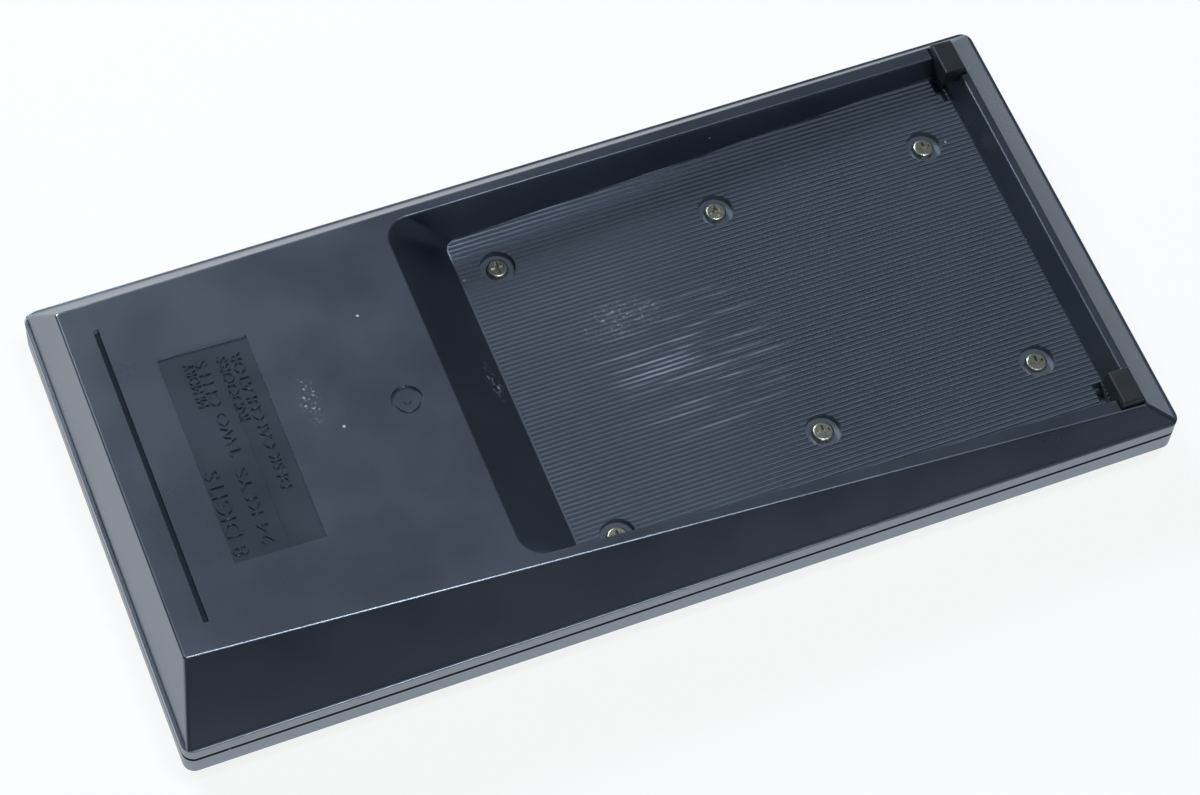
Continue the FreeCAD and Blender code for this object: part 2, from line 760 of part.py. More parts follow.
def front_cover():
    band = prism("front_band", case_outline("front_band_outline", band_bottom, "0", "corner_radius"),
                 "band_depth")
    bevel = loft("front_bevel", [case_outline("front_rim_outline", "0", "bevel_inset", "corner_radius"),
                                 case_outline("front_bevel_outline", band_bottom, "0", "corner_radius")])
    lip = prism("front_lip", case_outline("front_lip_outline", f"{band_bottom}", "wall + lip_clearance",
                                          "inner_radius"), "band_depth + lip_height")
    outside = fuse("front_outside", [band, bevel, lip])
    cavity = prism("front_cavity",
                   case_outline("front_cavity_outline", panel_inner, cavity_inset, "inner_radius"),
                   f"front_depth + lip_height + cut_overlap - {panel_inner}")
    bay = box_between("display_bay", (from_thick_end("bay_start"), "-bay_half_width", bay_floor),
                      (from_thick_end("bay_end"), "bay_half_width", f"{panel_inner} + cut_overlap"))
    zone = prism("key_zone", rectangle("key_zone_outline", "-cut_overlap",
                                       (from_thick_end("zone_start"), f"-{zone_half_width}"),
                                       (from_thick_end(zone_end), zone_half_width), "zone_radius"),
                 "panel_sink + cut_overlap")
    rebate = prism("window_rebate", rectangle(
        "window_rebate_outline", "-cut_overlap",
        (from_thick_end("window_start - window_clearance"), "-(window_half_width + window_clearance)"),
        (from_thick_end("window_start + window_length + window_clearance"),
         "window_half_width + window_clearance"),
        "window_radius"), f"{window_ledge} + cut_overlap")
    opening = box_between(
        "display_opening",
        (from_thick_end("opening_start"), "-opening_half_width", "0"),
        (from_thick_end("opening_start + opening_length"), "opening_half_width", panel_inner),
    )
    hollowed = cut("front_hollowed", outside, [fuse("front_hollow", [cavity, bay])])
    faced = cut("front_faced", hollowed, [zone, fuse("display_cut", [rebate, opening])])
    pierced = cut("front_pierced", faced, key_openings("panel_hole", "panel_sink - cut_overlap",
                                                       f"{panel_inner} + cut_overlap"))
    posts = []
    pilots = []
    for number, (along, across) in enumerate(screw_places, start=1):
        x = from_thick_end(along)
        posts.append(cylinder(f"post_{number}", (x, across, f"{panel_inner} - cut_overlap"), "post_diameter",
                              f"{boss_bottom} - {panel_inner} + cut_overlap"))
        pilots.append(cylinder(f"pilot_{number}", (x, across, f"{screw_seat} - screw_length - blind_end"),
                               "screw_diameter + 2 * thread_clearance", "screw_length + blind_end"))
    for number, (along, across) in enumerate(tray_screw_places, start=1):
        x = from_thick_end(along)
        posts.append(cylinder(f"tray_post_{number}", (x, across, f"{bay_floor} - cut_overlap"),
                              "tray_post_diameter", f"{display_board_top} - {bay_floor} + cut_overlap"))
        pilot_end = f"{tray_top} - tray_screw_length - blind_end"
        pilots.append(cylinder(f"tray_pilot_{number}", (x, across, pilot_end),
                               "tray_screw_diameter + 2 * thread_clearance", "tray_screw_length + blind_end"))
    ledges = []
    for side, sign in (("far", ""), ("near", "-")):
        inner = f"{sign}ledge_inner"
        outer = f"{sign}({half_width} - {cavity_inset} + cut_overlap)"
        low, high = (inner, outer) if sign == "" else (outer, inner)
        ledges.append(box_between(
            f"board_ledge_{side}",
            (from_thick_end("board_start + ledge_margin"), low, f"{panel_inner} - cut_overlap"),
            (from_thick_end(f"{board_end} - ledge_margin"), high, board_bottom),
        ))
    posted = fuse("front_posted", [pierced] + posts + ledges)
    node("front_cover", cut("front_cover", posted, pilots))


def trim_plate():
    low = (from_thick_end("zone_start + trim_clearance"), f"-({zone_half_width} - trim_clearance)")
    high = (from_thick_end(f"{zone_end} - trim_clearance"), f"{zone_half_width} - trim_clearance")
    sheet_metal = prism("trim_sheet", rectangle("trim_outline", "panel_sink - trim_thickness", low, high,
                                                "zone_radius - trim_clearance"), "trim_thickness")
    holes = key_openings("trim_hole", "panel_sink - trim_thickness - cut_overlap", "panel_sink + cut_overlap")
    node("trim_plate", cut("trim_plate", sheet_metal, holes))


def display_window():
    sketch = rectangle(
        "window_outline", "window_sink",
        (from_thick_end("window_start"), "-window_half_width"),
        (from_thick_end("window_start + window_length"), "window_half_width"), "window_radius")
    node("display_window", prism("display_window", sketch, "window_thickness"))


# Display


def lcd_panel():
    start = "opening_start - glass_margin"
    end = "opening_start + opening_length + glass_margin"
    half = "opening_half_width + glass_side_margin"
    front = box_between("front_glass", (from_thick_end(start), f"-({half})", bay_floor),
                        (from_thick_end(end), half, glass_ledge))
    rear = box_between("rear_glass", (from_thick_end(f"{start} + contact_ledge"), f"-({half})", glass_ledge),
                       (from_thick_end(f"{end} - contact_ledge"), half, f"{glass_ledge} + glass_thickness"))
    node("lcd_panel", fuse("lcd_panel", [front, rear]))


def contact_strips():
    strips = []
    middle = "(opening_start - glass_margin + contact_ledge / 2)"
    other = "(opening_start + opening_length + glass_margin - contact_ledge / 2)"
    for number, along in enumerate((middle, other), start=1):
        strips.append(box(
            f"strip_{number}",
            (from_thick_end(f"{along} - strip_width / 2"), "-strip_half_length", glass_ledge),
            ("strip_width", "2 * strip_half_length", "strip_height"),
        ))
    node("contact_strips", group("contact_strips", strips))


def display_board():
    board = box_between("display_board", (from_thick_end("display_board_start"), "-display_board_half_width",
                                          display_board_bottom),
                        (from_thick_end("display_board_end"), "display_board_half_width", display_board_top))
    node("display_board", board)


def ribbon_cable():
    # A flat strip that climbs from the display board's top to the key board's underside
    low_start = from_thick_end("display_board_end - ribbon_overlap")
    low_end = from_thick_end("display_board_end")
    high_end = from_thick_end("board_start + ribbon_overlap")
    lower = box_between("ribbon_lower", (low_start, "-ribbon_half_width", display_board_top),
                        (low_end, "ribbon_half_width", f"{display_board_top} + ribbon_thickness"))
    riser = box_between("ribbon_riser", (f"{low_end} - ribbon_thickness", "-ribbon_half_width",
                                         display_board_top), (low_end, "ribbon_half_width", board_bottom))
    upper = box_between("ribbon_upper", (f"{low_end} - ribbon_thickness", "-ribbon_half_width",
                                         f"{board_bottom} - ribbon_thickness"),
                        (high_end, "ribbon_half_width", board_bottom))
    node("ribbon_cable", fuse("ribbon_cable", [lower, riser, upper]))


# Keyboard and key board


def keys():
    # One single key and one tall key are drawn at the first place, and each cap is a copy at its own place
    def cap(name, rows):
        x, y = key_centre(0, 0, rows)
        long = f"({key_long(rows)} / 2)"
        wide = "(key_width / 2)"

        def section(part, height, inset):
            low = (f"{x} - ({long} - ({inset}))", f"{y} - ({wide} - ({inset}))")
            high = (f"{x} + ({long} - ({inset}))", f"{y} + ({wide} - ({inset}))")
            return rectangle(f"{name}_{part}", height, low, high, "key_radius")

        shoulder = "panel_sink - trim_thickness - key_shoulder"
        stem = prism(f"{name}_stem", section("stem_outline", shoulder, "0"), f"{tab_top} - ({shoulder})")
        top = loft(f"{name}_top", [section("finger_outline", "key_recess", "key_taper"),
                                   section("shoulder_outline", shoulder, "0")])
        tabs = box(f"{name}_tabs", (f"{x} - tab_length / 2", f"{y} - {wide} - tab_reach", tab_bottom),
                   ("tab_length", "key_width + 2 * tab_reach", "tab_thickness"))
        blank = fuse(f"{name}_blank", [stem, top, tabs])
        return rounded(name, blank, "key_round", edges_at_height("key_recess"))

    caps = {1: cap("single_key", 1), tall_rows: cap("tall_key", tall_rows)}
    doc.recompute()
    for name, row, column, rows in key_places():
        item = doc.addObject("Part::Feature", name)
        item.Shape = caps[rows].Shape
        bind(item, "Placement.Base.x", f"{row} * {row_pitch}")
        bind(item, "Placement.Base.y", f"-{column} * {column_pitch}")
        node(name, item)


def key_mat():
    first = f"(screw_start + key_rows_offset * {row_pitch})"
    start = f"({first} - mat_margin)"
    end = f"({first} + {row_count - 1} * {row_pitch} + mat_margin)"
    mat = box_between("mat_sheet", (from_thick_end(start), "-mat_half_width", mat_bottom),
                      (from_thick_end(end), "mat_half_width", board_bottom))
    domes = []
    hollows = []
    for key, row, column, rows in key_places():
        x, y = key_centre(row, column, rows)
        domes.append(cone(f"dome_{key}", (x, y, f"{mat_bottom} - dome_height"), "dome_tip_diameter",
                          "dome_base_diameter", "dome_height + cut_overlap"))
        hollows.append(cone(f"hollow_{key}", (x, y, f"{mat_bottom} - dome_height + dome_wall"),
                            "dome_tip_diameter - 2 * dome_wall", "dome_base_diameter - 2 * dome_wall",
                            "dome_height + mat_thickness"))
    holes = [
        cylinder(f"mat_hole_{number}", (from_thick_end(along), across, f"{mat_bottom} - cut_overlap"),
                 "post_diameter + 2 * board_hole_clearance", "mat_thickness + 2 * cut_overlap")
        for number, (along, across) in enumerate(screw_places, start=1)
    ]
    node("key_mat", cut("key_mat", fuse("mat_domed", [mat] + domes), hollows + holes))


def main_board():
    board = box_between("board_sheet", (from_thick_end("board_start"), "-board_half_width", board_bottom),
                        (from_thick_end(board_end), "board_half_width", board_top))
    holes = [
        cylinder(f"board_hole_{number}", (from_thick_end(along), across, f"{board_bottom} - cut_overlap"),
                 "post_diameter + 2 * board_hole_clearance", "board_thickness + 2 * cut_overlap")
        for number, (along, across) in enumerate(screw_places, start=1)
    ]
    node("main_board", cut("main_board", board, holes))


def board_parts():
    chip_corner = (from_thick_end("chip_position - chip_size / 2"), "-chip_size / 2", board_top)
    chip = box("calculator_chip", chip_corner, ("chip_size", "chip_size", "chip_height"))
    node("calculator_chip", chip)
    cans = [
        cylinder(f"can_{side}", (from_thick_end("capacitor_position"), f"{sign}capacitor_across", board_top),
                 "capacitor_diameter", "capacitor_height")
        for side, sign in (("far", ""), ("near", "-"))
    ]
    node("capacitors", group("capacitors", cans))
    rods = []
    for number in range(resistor_count):
        rod = cylinder(f"rod_{number}", ("0", "0", "0"), "resistor_diameter", "resistor_length")
        turn(rod, (0, 1, 0), "90")
        place(rod, from_thick_end("resistor_position - resistor_length"),
              f"resistor_first - {number} * resistor_pitch", f"{board_top} + resistor_diameter / 2")
        rods.append(rod)
    node("resistors", group("resistors", rods))


def power_switch():
    x = from_thick_end("switch_position")
    stem = box_between(
        "knob_stem",
        (f"{x} - knob_length / 2", "switch_across - knob_width / 2", "knob_recess"),
        (f"{x} + knob_length / 2", "switch_across + knob_width / 2", tab_top),
    )
    flange = box_between(
        "knob_flange",
        (f"{x} - knob_length / 2 - knob_flange", "switch_across - knob_width / 2 - knob_flange", tab_bottom),
        (f"{x} + knob_length / 2 + knob_flange", "switch_across + knob_width / 2 + knob_flange", tab_top),
    )
    blank = fuse("knob_blank", [stem, flange])
    knob = rounded("power_switch_knob", blank, "knob_round", edges_at_height("knob_recess"))
    node("power_switch_knob", knob)
    middle = "(switch_across + switch_travel / 2)"
    body = box_between(
        "power_switch_body",
        (f"{x} - switch_body_length / 2", f"{middle} - switch_body_width / 2", f"{tab_top} + rest_gap"),
        (f"{x} + switch_body_length / 2", f"{middle} + switch_body_width / 2", board_bottom),
    )
    node("power_switch_body", body)


# Cells and their tray


def battery_cells():
    for name, along, sign in (("first", "cell_position", 1), ("second", "(cell_position + cell_pitch)", -1)):
        body = cylinder(f"cell_body_{name}", ("0", "0", "0"), "cell_diameter", "cell_length - nub_length")
        nub = cylinder(f"cell_nub_{name}", ("0", "0", "0"), "nub_diameter", "cell_length")
        for piece in (body, nub):
            turn(piece, (1, 0, 0), f"{-90 * sign}")
            flat_end = f"{sign} * ({cell_reach} - cell_length)"
            place(piece, from_thick_end(along), flat_end, cell_axis)
        blank = fuse(f"cell_blank_{name}", [body, nub])
        rim = value("cell_diameter")
        wanted = lambda edge: len(edge.Vertexes) == 1 and abs(edge.BoundBox.XLength - rim) < closeness
        node(f"battery_cell_{name}", rounded(f"battery_cell_{name}", blank, "cell_round", wanted))


def contact_legs(name, clearance):
    # Legs under the three contacts, or the slots for them when a clearance is given
    legs = {}
    places = (("link", "cell_position", 1), ("negative", "cell_position", -1),
              ("positive", "cell_position + cell_pitch", -1))
    for leg, along, sign in places:
        inner = f"({cell_reach} - ({clearance}))"
        outer = f"({cell_reach} + contact_thickness + ({clearance}))"
        low, high = (inner, outer) if sign > 0 else (f"-{outer}", f"-{inner}")
        legs[leg] = box_between(
            f"{name}_{leg}",
            (from_thick_end(f"{along} - leg_half_width - ({clearance})"), low, display_board_top),
            (from_thick_end(f"{along} + leg_half_width + ({clearance})"), high, f"{tray_top} + cut_overlap"),
        )
    return legs


def battery_contacts():
    legs = contact_legs("contact_leg", "0")
    second = "(cell_position + cell_pitch)"

    def plate(name, start, end, sign):
        inner = cell_reach
        outer = f"({cell_reach} + contact_thickness)"
        low, high = (inner, outer) if sign > 0 else (f"-{outer}", f"-{inner}")
        return box_between(
            name,
            (from_thick_end(f"{start} - contact_half_width"), low, tray_top),
            (from_thick_end(f"{end} + contact_half_width"), high, f"{tray_top} + contact_height"),
        )

    def spring(name, along, sign):
        bump = cone(name, ("0", "0", "0"), "spring_base_diameter", "spring_tip_diameter", "spring_reach")
        turn(bump, (1, 0, 0), f"{90 * sign}")
        place(bump, from_thick_end(along), f"{sign} * {cell_reach}", cell_axis)
        return bump

    link = [plate("link_plate", "cell_position", second, 1), spring("link_spring", second, 1), legs["link"]]
    negative = [plate("negative_plate", "cell_position", "cell_position", -1),
                spring("negative_spring", "cell_position", -1), legs["negative"]]
    positive = [plate("positive_plate", second, second, -1), legs["positive"]]
    node("battery_link_contact", fuse("battery_link_contact", link))
    node("battery_negative_contact", fuse("battery_negative_contact", negative))
    node("battery_positive_contact", fuse("battery_positive_contact", positive))


def battery_tray():
    start = from_thick_end(tray_start)
    end = from_thick_end(tray_end)
    floor = box_between("tray_base", (start, f"-{tray_half_width}", display_board_top),
                        (end, tray_half_width, tray_top))
    walls = []
    for side, low, high in (("far", f"({tray_half_width} - tray_wall)", tray_half_width),
                            ("near", f"-{tray_half_width}", f"-({tray_half_width} - tray_wall)")):
        walls.append(box_between(f"tray_end_{side}", (start, low, display_board_top),
                                 (end, high, f"{tray_top} + tray_end_height")))
    for side, low, high in (("first", start, f"{start} + tray_wall"), ("second", f"{end} - tray_wall", end)):
        walls.append(box_between(f"tray_side_{side}", (low, f"-{tray_half_width}", display_board_top),
                                 (high, tray_half_width, f"{tray_top} + tray_side_height")))
    ears = []
    for number, (along, across) in enumerate(tray_screw_places, start=1):
        x = from_thick_end(along)
        outer = f"{across} + ear_edge" if not across.startswith("(-") else f"{across} - ear_edge"
        inner = "0"
        low, high = (inner, outer) if not across.startswith("(-") else (outer, inner)
        ears.append(box_between(f"tray_ear_{number}", (f"{x} - ear_half_length", low, display_board_top),
                                (f"{x} + ear_half_length", high, tray_top)))
    holes = [
        cylinder(f"ear_hole_{number}", (from_thick_end(along), across, f"{display_board_top} - cut_overlap"),
                 "tray_screw_diameter + 2 * shank_clearance", "tray_floor + 2 * cut_overlap")
        for number, (along, across) in enumerate(tray_screw_places, start=1)
    ]
    slots = list(contact_legs("leg_slot", "leg_clearance").values())
    node("battery_tray", cut("battery_tray", fuse("tray_blank", [floor] + walls + ears), holes + slots))


def tray_screws():
    screws = []
    for number, (along, across) in enumerate(tray_screw_places, start=1):
        x = from_thick_end(along)
        head = cylinder(f"tray_head_{number}", (x, across, tray_top), "tray_screw_head_diameter",
                        "tray_screw_head_height")
        shank = cylinder(f"tray_shank_{number}", (x, across, f"{tray_top} - tray_screw_length"),
                         "tray_screw_diameter", "tray_screw_length")
        screws.append(fuse(f"tray_screw_{number}", [head, shank]))
    node("tray_screws", group("tray_screws", screws))


rear_cover()
rubber_feet()
case_screws()
front_cover()
trim_plate()
display_window()
lcd_panel()
contact_strips()
display_board()
ribbon_cable()
keys()
key_mat()
main_board()
board_parts()
power_switch()
battery_cells()
battery_contacts()
battery_tray()
tray_screws()
doc.recompute()

failed = [item.Name for item in doc.Objects if "Invalid" in item.State or "Error" in item.State]
if failed:
    raise RuntimeError("not built: " + ", ".join(failed))
for name, item in nodes.items():
    if item.Shape.isNull() or not item.Shape.isValid() or not item.Shape.Solids:
        raise RuntimeError("no valid solid: " + name)

os.makedirs("parts", exist_ok=True)
for name, item in nodes.items():
    item.Shape.exportStep(f"parts/{name}.step")
    print(name, len(item.Shape.Solids), round(item.Shape.Volume, 2))
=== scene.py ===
import json
import math

import bpy
from mathutils import Matrix, Vector


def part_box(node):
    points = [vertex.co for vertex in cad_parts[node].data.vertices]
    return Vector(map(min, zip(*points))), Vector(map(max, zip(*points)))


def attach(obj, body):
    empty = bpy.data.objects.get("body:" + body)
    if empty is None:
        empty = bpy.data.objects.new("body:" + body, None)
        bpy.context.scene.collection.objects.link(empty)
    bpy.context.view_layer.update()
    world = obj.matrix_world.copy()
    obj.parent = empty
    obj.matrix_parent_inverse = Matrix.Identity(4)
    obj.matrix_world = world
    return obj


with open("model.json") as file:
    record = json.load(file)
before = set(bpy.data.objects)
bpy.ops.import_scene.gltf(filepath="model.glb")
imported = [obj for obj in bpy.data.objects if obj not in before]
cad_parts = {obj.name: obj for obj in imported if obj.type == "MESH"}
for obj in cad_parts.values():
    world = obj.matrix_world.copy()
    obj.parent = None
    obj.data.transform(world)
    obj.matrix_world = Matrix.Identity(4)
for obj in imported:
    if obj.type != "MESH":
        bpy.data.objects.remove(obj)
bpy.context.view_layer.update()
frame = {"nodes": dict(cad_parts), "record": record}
nodes = frame["nodes"]
record = frame["record"]
mm = 0.001
print("frame loaded:", len(nodes), "pieces")


# Node helpers


def put(tree, kind, props=None, values=None, links=None):
    made = tree.nodes.new(kind)
    for name, value in (props or {}).items():
        setattr(made, name, value)
    for name, value in (values or {}).items():
        made.inputs[name].default_value = value
    for name, socket in (links or {}).items():
        tree.links.new(socket, made.inputs[name])
    return made


def math2(tree, operation, first, second, clamp=False):
    made = put(tree, "ShaderNodeMath", {"operation": operation, "use_clamp": clamp})
    for index, source in enumerate((first, second)):
        if isinstance(source, (int, float)):
            made.inputs[index].default_value = source
        else:
            tree.links.new(source, made.inputs[index])
    return made.outputs[0]


def spread(tree, source, low, high, newLow=0.0, newHigh=1.0):
    made = put(tree, "ShaderNodeMapRange", {"interpolation_type": "SMOOTHSTEP"},
               {"From Min": low, "From Max": high, "To Min": newLow, "To Max": newHigh}, {"Value": source})
    return made.outputs["Result"]


def ramp(tree, source, *stops):
    made = put(tree, "ShaderNodeValToRGB", links={"Fac": source})
    band = made.color_ramp
    while len(band.elements) < len(stops):
        band.elements.new(0.5)
    for element, (place, colour) in zip(band.elements, stops):
        element.position = place
        element.color = (*colour, 1.0)
    return made.outputs["Color"]


def blendColour(tree, amount, under, over):
    made = put(tree, "ShaderNodeMix", {"data_type": "RGBA"})
    for index, source in ((0, amount), (6, under), (7, over)):
        if isinstance(source, tuple):
            made.inputs[index].default_value = (*source, 1.0)
        else:
            tree.links.new(source, made.inputs[index])
    return made.outputs[2]


def startMaterial(name):
    material = bpy.data.materials.new(name)
    material.use_nodes = True
    tree = material.node_tree
    tree.nodes.clear()
    surface = put(tree, "ShaderNodeBsdfPrincipled")
    put(tree, "ShaderNodeOutputMaterial", links={"Surface": surface.outputs[0]})
    where = put(tree, "ShaderNodeTexCoord").outputs["Object"]
    return material, tree, surface, where


def noise(tree, where, scale, detail=3.0, stretch=None, rough=0.5):
    if stretch:
        mapped = put(tree, "ShaderNodeMapping", values={"Scale": stretch}, links={"Vector": where})
        where = mapped.outputs[0]
    made = put(tree, "ShaderNodeTexNoise", values={"Scale": scale, "Detail": detail, "Roughness": rough},
               links={"Vector": where})
    return made.outputs["Fac"]


def bump(tree, surface, height, depth):
    made = put(tree, "ShaderNodeBump", values={"Strength": 1.0, "Distance": depth}, links={"Height": height})
    tree.links.new(made.outputs[0], surface.inputs["Normal"])


# Moulded case: fine spark texture, painted shade in the furrows and the groove, rubbed rib tops, scuffs and
# dust

caseFinish = {
    "deep": (0.0080, 0.0098, 0.0135),
    "pale": (0.0130, 0.0158, 0.0210),
    "mottle": 55.0,
    "grain": 2600.0,
    "grainDepth": 0.012 * mm,
    "smooth": 0.27,
    "dull": 0.33,
    "refraction": 2.1,
    "gloss": 1.0,
    "tint": (0.72, 0.84, 1.0, 1.0),
}
furrows = {
    "middle": (30.8 * mm, 0.0),
    "half": (47.5 * mm, 36.2 * mm),
    "top": 11.855 * mm,
    # painted shade: the furrows near the platform end are drawn darker than the plastic
    "colour": (0.0060, 0.0075, 0.0105),
    "filled": (0.015, 0.019, 0.026),
    "roughness": 0.60,
    "rubbed": (0.030, 0.036, 0.045),  # rib tops at the platform's end
    "rubbedFrom": 34.0 * mm,
    "rubbedTo": 6.0 * mm,
    "polish": 0.10,  # how much smoother the tops are at the thin end
}
sunkPatches = {
    "label": {
        "middle": (-62.2 * mm, 0.0),
        "half": (7.5 * mm, 19.5 * mm),
        "colour": (0.0070, 0.0087, 0.0120),
        "smooth": 0.23,
    },
    # painted shade: the groove floor is drawn near black
    "groove": {
        "middle": (-77.1 * mm, 0.0),
        "half": (0.44 * mm, 27.7 * mm),
        "colour": (0.0010, 0.0012, 0.0018),
        "smooth": 0.10,
    },
}
ribWear = {
    "centre": (14.5 * mm, -3.5 * mm),
    "reach": (20.0 * mm, 17.0 * mm),
    "top": 11.80 * mm,
    "topBand": 0.06 * mm,
    "streakScale": 75.0,
    "streakStretch": (0.8, 13.0, 1.0),
    "streakFrom": 0.52,
    "streakTo": 0.70,
    "colour": (0.26, 0.30, 0.34),
}
scrapes = {
    "rib_patch": {"centre": (6.2 * mm, 8.5 * mm), "reach": (10.0 * mm, 4.2 * mm)},
    "platform_patch": {"centre": (-49.2 * mm, 5.0 * mm), "reach": (2.2 * mm, 6.0 * mm)},
    "ramp_patch": {"centre": (-18.0 * mm, 3.0 * mm), "reach": (1.6 * mm, 5.0 * mm)},
}
scrapeLook = {
    "scale": 1900.0,
    "from": 0.55,
    "to": 0.72,
    "colour": (0.34, 0.37, 0.39),
}
dust = {
    "cell": 330.0,
    "size": 0.05,
    "share": 0.975,
    "dull": 0.4,
    "colour": (0.40, 0.42, 0.43),
}


def ellipse(tree, parts, spot):
    # 1 in the middle of a worn spot, 0 past its edge
    across = []
    for axis, middle, reach in zip("XY", spot["centre"], spot["reach"]):
        shifted = math2(tree, "SUBTRACT", parts.outputs[axis], middle)
        scaled = math2(tree, "DIVIDE", shifted, reach)
        across.append(math2(tree, "MULTIPLY", scaled, scaled))
    return spread(tree, math2(tree, "ADD", *across), 1.0, 0.0)


def inPatch(tree, parts, patch):
    # 1 inside an upright box of the patch's outline, 0 outside it
    inside = 1.0
    for axis, middle, half in zip("XY", patch["middle"], patch["half"]):
        away = math2(tree, "ABSOLUTE", math2(tree, "SUBTRACT", parts.outputs[axis], middle), 0.0)
        inside = math2(tree, "MULTIPLY", inside, math2(tree, "LESS_THAN", away, half))
    return inside


def ribWearAndPaintedShade(tree, parts, colour, roughness):
    # Furrows get painted shade near the platform end and are dull, and rib tops go from rubbed to polished
    # along the case
    onRibs = inPatch(tree, parts, furrows)
    low = math2(tree, "LESS_THAN", parts.outputs["Z"], furrows["top"])
    ribTop = math2(tree, "LESS_THAN", parts.outputs["Z"], furrows["top"] + ribWear["topBand"])
    inFurrow = math2(tree, "MULTIPLY", onRibs, low)
    onTop = math2(tree, "MULTIPLY", onRibs, ribTop)
    rubbed = spread(tree, parts.outputs["X"], furrows["rubbedFrom"], furrows["rubbedTo"])
    colour = blendColour(tree, math2(tree, "MULTIPLY", onTop, rubbed), colour, furrows["rubbed"])
    furrowPaintedShade = blendColour(tree, rubbed, furrows["filled"], furrows["colour"])
    colour = blendColour(tree, inFurrow, colour, furrowPaintedShade)
    polish = math2(tree, "MULTIPLY", onTop, math2(tree, "SUBTRACT", 1.0, rubbed))
    polish = math2(tree, "MULTIPLY", polish, furrows["polish"])
    dulled = math2(tree, "MULTIPLY", inFurrow, furrows["roughness"])
    return colour, math2(tree, "MAXIMUM", math2(tree, "SUBTRACT", roughness, polish), dulled)


def sunkFinishAndPaintedShade(tree, parts, colour, roughness):
    # The label panel is drawn darker and smoother; the groove gets painted shade, near black
    for patch in sunkPatches.values():
        sunk = inPatch(tree, parts, patch)
        colour = blendColour(tree, sunk, colour, patch["colour"])
        polish = math2(tree, "MULTIPLY", sunk, caseFinish["smooth"] - patch["smooth"])
        roughness = math2(tree, "SUBTRACT", roughness, polish)
    return colour, roughness


def scuffs(tree, where, parts, colour):
    top = spread(tree, parts.outputs["Z"], ribWear["top"], ribWear["top"] + ribWear["topBand"])
    streak = noise(tree, where, ribWear["streakScale"], 3.0, ribWear["streakStretch"])
    streak = spread(tree, streak, ribWear["streakFrom"], ribWear["streakTo"])
    lines = math2(tree, "MULTIPLY", math2(tree, "MULTIPLY", streak, top), ellipse(tree, parts, ribWear))
    colour = blendColour(tree, lines, colour, ribWear["colour"])
    flecks = noise(tree, where, scrapeLook["scale"], 2.0)
    flecks = spread(tree, flecks, scrapeLook["from"], scrapeLook["to"])
    for spot in scrapes.values():
        scrape = math2(tree, "MULTIPLY", flecks, ellipse(tree, parts, spot))
        colour = blendColour(tree, scrape, colour, scrapeLook["colour"])
    return colour


def dustSpecks(tree, where, colour, roughness):
    cells = put(tree, "ShaderNodeTexVoronoi", values={"Scale": dust["cell"]}, links={"Vector": where})
    lucky = put(tree, "ShaderNodeSeparateColor", links={"Color": cells.outputs["Color"]}).outputs["Red"]
    speck = spread(tree, cells.outputs["Distance"], dust["size"] * 2.0, dust["size"])
    speck = math2(tree, "MULTIPLY", speck, math2(tree, "GREATER_THAN", lucky, dust["share"]))
    colour = blendColour(tree, speck, colour, dust["colour"])
    return colour, math2(tree, "ADD", roughness, math2(tree, "MULTIPLY", speck, dust["dull"]), clamp=True)


def casePlastic(name, wornWithPaintedShade):
    look = caseFinish
    material, tree, surface, where = startMaterial(name)
    mottle = noise(tree, where, look["mottle"], 4.0)
    colour = ramp(tree, mottle, (0.3, look["deep"]), (0.75, look["pale"]))
    roughness = spread(tree, mottle, 0.25, 0.8, look["smooth"], look["dull"])
    # Adds rubbed rib tops and scuffs, and painted shade in the furrows and the groove
    if wornWithPaintedShade:
        parts = put(tree, "ShaderNodeSeparateXYZ", links={"Vector": where})
        colour, roughness = ribWearAndPaintedShade(tree, parts, colour, roughness)
        colour, roughness = sunkFinishAndPaintedShade(tree, parts, colour, roughness)
        colour = scuffs(tree, where, parts, colour)
    colour, roughness = dustSpecks(tree, where, colour, roughness)
    tree.links.new(colour, surface.inputs["Base Color"])
    tree.links.new(roughness, surface.inputs["Roughness"])
    surface.inputs["IOR"].default_value = look["refraction"]
    surface.inputs["Specular IOR Level"].default_value = look["gloss"]
    surface.inputs["Specular Tint"].default_value = look["tint"]
    bump(tree, surface, noise(tree, where, look["grain"], 2.0), look["grainDepth"])
    return material


# Other finishes

plasticVariety = {"mottle": 140.0, "smoother": 0.06, "duller": 0.08}
metalVariety = {"smoother": 0.07, "duller": 0.1}


def plasticFinish(name, deep, pale, roughness, grain=2200.0, depth=0.012 * mm):
    material, tree, surface, where = startMaterial(name)
    mottle = noise(tree, where, plasticVariety["mottle"], 4.0)
    tree.links.new(ramp(tree, mottle, (0.3, deep), (0.72, pale)), surface.inputs["Base Color"])
    smooth = roughness - plasticVariety["smoother"]
    dull = roughness + plasticVariety["duller"]
    varied = spread(tree, mottle, 0.3, 0.8, smooth, dull)
    tree.links.new(varied, surface.inputs["Roughness"])
    bump(tree, surface, noise(tree, where, grain, 2.0), depth)
    return material


def metalFinish(name, deep, pale, roughness, stretch, scale=260.0, depth=0.006 * mm):
    material, tree, surface, where = startMaterial(name)
    brushed = noise(tree, where, scale, 5.0, stretch)
    tree.links.new(ramp(tree, brushed, (0.25, deep), (0.8, pale)), surface.inputs["Base Color"])
    smooth = roughness - metalVariety["smoother"]
    dull = roughness + metalVariety["duller"]
    varied = spread(tree, brushed, 0.2, 0.8, smooth, dull)
    tree.links.new(varied, surface.inputs["Roughness"])
    surface.inputs["Metallic"].default_value = 1.0
    bump(tree, surface, brushed, depth)
    return material


screwLook = {
    "deep": (0.13, 0.128, 0.10),
    "plate": (0.38, 0.375, 0.31),
    "bright": (0.74, 0.74, 0.67),
    "tarnish": 900.0,
    "dull": 0.48,
    "smooth": 0.26,
    "pitting": 0.03 * mm,
}


